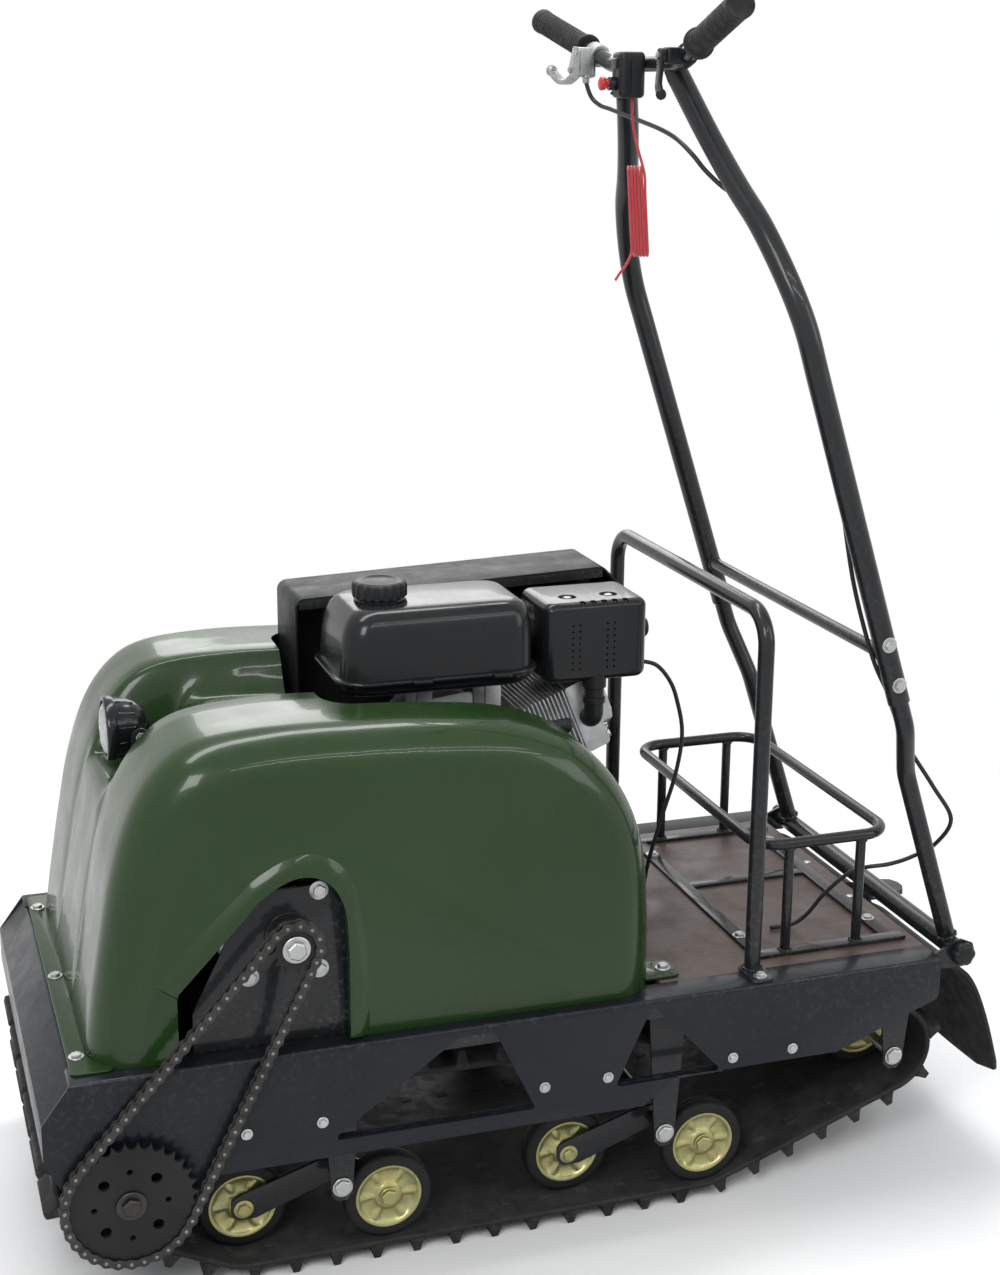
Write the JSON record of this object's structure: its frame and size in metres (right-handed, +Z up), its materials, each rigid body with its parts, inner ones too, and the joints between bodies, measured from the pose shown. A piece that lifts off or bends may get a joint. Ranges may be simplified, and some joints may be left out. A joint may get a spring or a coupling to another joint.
{
  "type": "tracked snow tow vehicle",
  "caption": "Tracked snow tow vehicle with moulded hood, exposed engine, chain-driven rubber track, cargo deck with rail, and an upright folding tow handle.",
  "frame": {"origin": "on the ground, midway across the track, under the ground lug at the middle of its flat run", "axes": "+X toward the rear (the handle end), +Y toward the vehicle's right side as it drives, away from the chain drive, +Z up"},
  "size_m": [1.3689, 0.6876, 1.6212],
  "materials": {
    "aluminium": "cast or turned aluminium",
    "black_paint": "semi-gloss black powder coat",
    "clear_lens": "clear lamp lens",
    "green_gelcoat": "glossy dark green moulded fibreglass",
    "plastic": "satin black moulded plastic",
    "plywood": "brown film-faced plywood",
    "red_cord": "red cord and red plastic",
    "rubber": "matt black rubber",
    "sheet_steel": "semi-gloss dark grey-black powder coat",
    "steel": "bare or zinc-plated steel",
    "zinc": "yellow zinc-plated steel"
  },
  "bodies": {
    "chassis": {"side_panel_left": "sheet_steel", "side_panel_right": "sheet_steel", "front_plate": "sheet_steel", "chassis_frame": "black_paint", "deck_board": "plywood", "rear_flap": "rubber", "hood": "green_gelcoat", "engine_block": "aluminium", "valve_cover": "black_paint", "recoil_housing": "black_paint", "fuel_tank": "plastic", "air_cleaner": "plastic", "muffler": "steel", "belt_guard": "black_paint", "bearing_plate_left": "black_paint", "bearing_plate_right": "black_paint", "brake_caliper": "aluminium", "rack_hoop": "black_paint", "rack_ring": "black_paint", "idler_shaft": "steel", "track_belt": "rubber", "drive_chain": "steel", "drive_belt": "rubber", "control_cable": "plastic", "brake_cable_lower": "plastic"},
    "track_drive_axle": {"drive_axle": "steel", "large_sprocket": "black_paint"},
    "countershaft": {"jackshaft": "steel", "small_sprocket": "black_paint", "driven_pulley": "aluminium"},
    "crank": {"crankshaft": "steel", "drive_pulley": "aluminium"},
    "front_bogie": {"bogie_front": "black_paint"},
    "rear_bogie": {"bogie_rear": "black_paint"},
    "handle_lower": {"lower_handle": "black_paint"},
    "handle_upper": {"upper_handle": "black_paint", "grip_left": "rubber", "grip_right": "rubber", "switch_block": "plastic", "brake_cable_upper": "plastic", "lanyard": "red_cord"},
    "brake_lever_body": {"brake_lever": "black_paint"},
    "throttle_lever_body": {"throttle_lever": "black_paint"},
    "stop_button_body": {"stop_button": "red_cord"},
    "fuel_cap_body": {"fuel_cap": "plastic"},
    "starter_handle": {"recoil_handle": "plastic"},
    "headlight": {"headlight_housing": "plastic", "headlight_lens": "clear_lens"},
    "knob_left": {"pivot_knob_left": "plastic"},
    "knob_right": {"pivot_knob_right": "plastic"},
    "wheel_front_inner_left": {"road_wheel_front_inner_left": "zinc"},
    "wheel_front_outer_left": {"road_wheel_front_outer_left": "zinc"},
    "wheel_front_inner_right": {"road_wheel_front_inner_right": "zinc"},
    "wheel_front_outer_right": {"road_wheel_front_outer_right": "zinc"},
    "wheel_rear_inner_left": {"road_wheel_rear_inner_left": "zinc"},
    "wheel_rear_outer_left": {"road_wheel_rear_outer_left": "zinc"},
    "wheel_rear_inner_right": {"road_wheel_rear_inner_right": "zinc"},
    "wheel_rear_outer_right": {"road_wheel_rear_outer_right": "zinc"},
    "idler_left": {"idler_wheel_left": "zinc"},
    "idler_right": {"idler_wheel_right": "zinc"}
  },
  "joints": [
    {"name": "track_drive", "type": "hinge", "parent": "chassis", "child": "track_drive_axle", "pos_m": [-0.551, 0, 0.187], "axis": [0, 1, 0], "continuous": true, "deforming": ["drive_chain"]},
    {"name": "countershaft_spin", "type": "hinge", "parent": "chassis", "child": "countershaft", "pos_m": [-0.33821, 0, 0.49894], "axis": [0, 1, 0], "continuous": true},
    {"name": "crank_spin", "type": "hinge", "parent": "chassis", "child": "crank", "pos_m": [-0.03, 0, 0.602], "axis": [0, 1, 0], "continuous": true},
    {"name": "bogie_front_rock", "type": "hinge", "parent": "chassis", "child": "front_bogie", "pos_m": [-0.272, 0, 0.128], "axis": [0, 1, 0], "range_deg": [-8, 8], "deforming": ["track_belt"]},
    {"name": "bogie_rear_rock", "type": "hinge", "parent": "chassis", "child": "rear_bogie", "pos_m": [0.183, 0, 0.128], "axis": [0, 1, 0], "range_deg": [-8, 8], "deforming": ["track_belt"]},
    {"name": "wheel_front_inner_left_spin", "type": "hinge", "parent": "front_bogie", "child": "wheel_front_inner_left", "pos_m": [-0.394, 0, 0.0895], "axis": [0, 1, 0], "continuous": true},
    {"name": "wheel_front_outer_left_spin", "type": "hinge", "parent": "front_bogie", "child": "wheel_front_outer_left", "pos_m": [-0.204, 0, 0.0895], "axis": [0, 1, 0], "continuous": true},
    {"name": "wheel_front_inner_right_spin", "type": "hinge", "parent": "front_bogie", "child": "wheel_front_inner_right", "pos_m": [-0.394, 0, 0.0895], "axis": [0, 1, 0], "continuous": true},
    {"name": "wheel_front_outer_right_spin", "type": "hinge", "parent": "front_bogie", "child": "wheel_front_outer_right", "pos_m": [-0.204, 0, 0.0895], "axis": [0, 1, 0], "continuous": true},
    {"name": "wheel_rear_inner_left_spin", "type": "hinge", "parent": "rear_bogie", "child": "wheel_rear_inner_left", "pos_m": [0.061, 0, 0.0895], "axis": [0, 1, 0], "continuous": true},
    {"name": "wheel_rear_outer_left_spin", "type": "hinge", "parent": "rear_bogie", "child": "wheel_rear_outer_left", "pos_m": [0.251, 0, 0.0895], "axis": [0, 1, 0], "continuous": true},
    {"name": "wheel_rear_inner_right_spin", "type": "hinge", "parent": "rear_bogie", "child": "wheel_rear_inner_right", "pos_m": [0.061, 0, 0.0895], "axis": [0, 1, 0], "continuous": true},
    {"name": "wheel_rear_outer_right_spin", "type": "hinge", "parent": "rear_bogie", "child": "wheel_rear_outer_right", "pos_m": [0.251, 0, 0.0895], "axis": [0, 1, 0], "continuous": true},
    {"name": "idler_left_spin", "type": "hinge", "parent": "chassis", "child": "idler_left", "pos_m": [0.533, 0, 0.19], "axis": [0, 1, 0], "continuous": true},
    {"name": "idler_right_spin", "type": "hinge", "parent": "chassis", "child": "idler_right", "pos_m": [0.533, 0, 0.19], "axis": [0, 1, 0], "continuous": true},
    {"name": "handle_fold", "type": "hinge", "parent": "chassis", "child": "handle_lower", "pos_m": [0.62, 0, 0.345], "axis": [0, 1, 0], "range_deg": [-8, 70], "deforming": ["brake_cable_lower"]},
    {"name": "handle_height", "type": "slide", "parent": "handle_lower", "child": "handle_upper", "axis": [-0.3123, 0, 0.95], "range_m": [0, 0.06], "deforming": ["brake_cable_lower"]},
    {"name": "brake_lever_pull", "type": "hinge", "parent": "handle_upper", "child": "brake_lever_body", "pos_m": [0.19832, 0.1813, 1.53616], "axis": [1, 0, 0], "range_deg": [0, 15], "stiffness_Nm_per_rad": 0.6, "springref_deg": -28.65},
    {"name": "throttle_push", "type": "hinge", "parent": "handle_upper", "child": "throttle_lever_body", "pos_m": [0.18599, -0.14, 1.55069], "axis": [-1, 0, 0], "range_deg": [0, 30], "stiffness_Nm_per_rad": 0.08, "springref_deg": -28.65},
    {"name": "stop_press", "type": "slide", "parent": "handle_upper", "child": "stop_button_body", "axis": [1, 0, 0], "range_m": [0, 0.004], "stiffness_N_per_m": 300, "springref_m": -0.002},
    {"name": "fuel_cap_turn", "type": "hinge", "parent": "chassis", "child": "fuel_cap_body", "pos_m": [-0.155, -0.04, 0.86], "axis": [0, 0, 1], "range_deg": [0, 90]},
    {"name": "starter_pull", "type": "slide", "parent": "chassis", "child": "starter_handle", "axis": [0, -0.3, 0.9539], "range_m": [0, 0.5], "stiffness_N_per_m": 8, "springref_m": -0.3},
    {"name": "headlight_tilt", "type": "hinge", "parent": "chassis", "child": "headlight", "pos_m": [-0.478, 0, 0.698], "axis": [0, 1, 0], "range_deg": [-15, 15]},
    {"name": "knob_left_turn", "type": "hinge", "parent": "chassis", "child": "knob_left", "pos_m": [0.62, 0, 0.345], "axis": [0, 1, 0], "continuous": true},
    {"name": "knob_right_turn", "type": "hinge", "parent": "chassis", "child": "knob_right", "pos_m": [0.62, 0, 0.345], "axis": [0, 1, 0], "continuous": true}
  ],
  "couplings": [
    {"joint": "countershaft_spin", "follows": "track_drive", "ratio": 2.6667},
    {"joint": "wheel_front_inner_left_spin", "follows": "track_drive", "ratio": 1.3089},
    {"joint": "wheel_front_outer_left_spin", "follows": "track_drive", "ratio": 1.3089},
    {"joint": "wheel_front_inner_right_spin", "follows": "track_drive", "ratio": 1.3089},
    {"joint": "wheel_front_outer_right_spin", "follows": "track_drive", "ratio": 1.3089},
    {"joint": "wheel_rear_inner_left_spin", "follows": "track_drive", "ratio": 1.3089},
    {"joint": "wheel_rear_outer_left_spin", "follows": "track_drive", "ratio": 1.3089},
    {"joint": "wheel_rear_inner_right_spin", "follows": "track_drive", "ratio": 1.3089},
    {"joint": "wheel_rear_outer_right_spin", "follows": "track_drive", "ratio": 1.3089},
    {"joint": "idler_left_spin", "follows": "track_drive", "ratio": 1.3089},
    {"joint": "idler_right_spin", "follows": "track_drive", "ratio": 1.3089}
  ]
}
